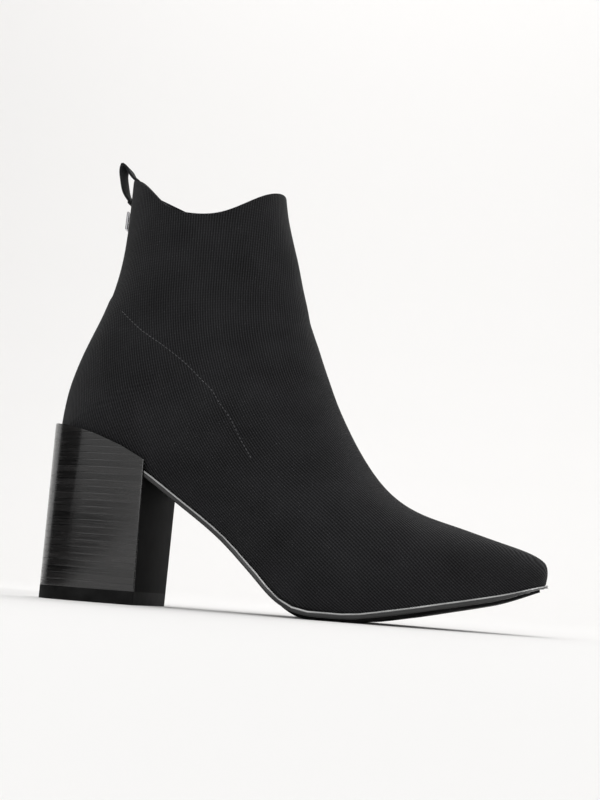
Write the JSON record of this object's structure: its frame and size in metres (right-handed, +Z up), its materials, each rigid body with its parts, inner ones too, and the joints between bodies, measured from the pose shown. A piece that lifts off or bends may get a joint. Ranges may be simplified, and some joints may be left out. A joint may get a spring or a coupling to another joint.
{
  "type": "sock boot",
  "caption": "Left ankle boot with a stretch-knit sock upper, pointed toe, dipped collar with a pull loop at the back, thin sole and high stacked block heel.",
  "frame": {"origin": "middle of the heel's underside, on the floor", "axes": "+X towards the toe, +Y towards the outer side of the foot, +Z up"},
  "size_m": [0.2384, 0.0825, 0.2151],
  "materials": {
    "rib_knit": "fine black rib knit with a soft sheen",
    "polished_sole": "polished black",
    "matt_rubber": "matt black",
    "footbed": "matt black",
    "stacked_leather": "stacked, stained black and waxed",
    "woven_tape": "matt black weave",
    "polished_steel": "polished"
  },
  "bodies": {
    "root": {"upper": "rib_knit", "outsole": "polished_sole", "forefoot_tread": "matt_rubber", "insole": "footbed", "heel_block": "stacked_leather", "heel_top_piece": "matt_rubber", "pull_loop": "woven_tape", "back_plate": "polished_steel"}
  },
  "joints": []
}
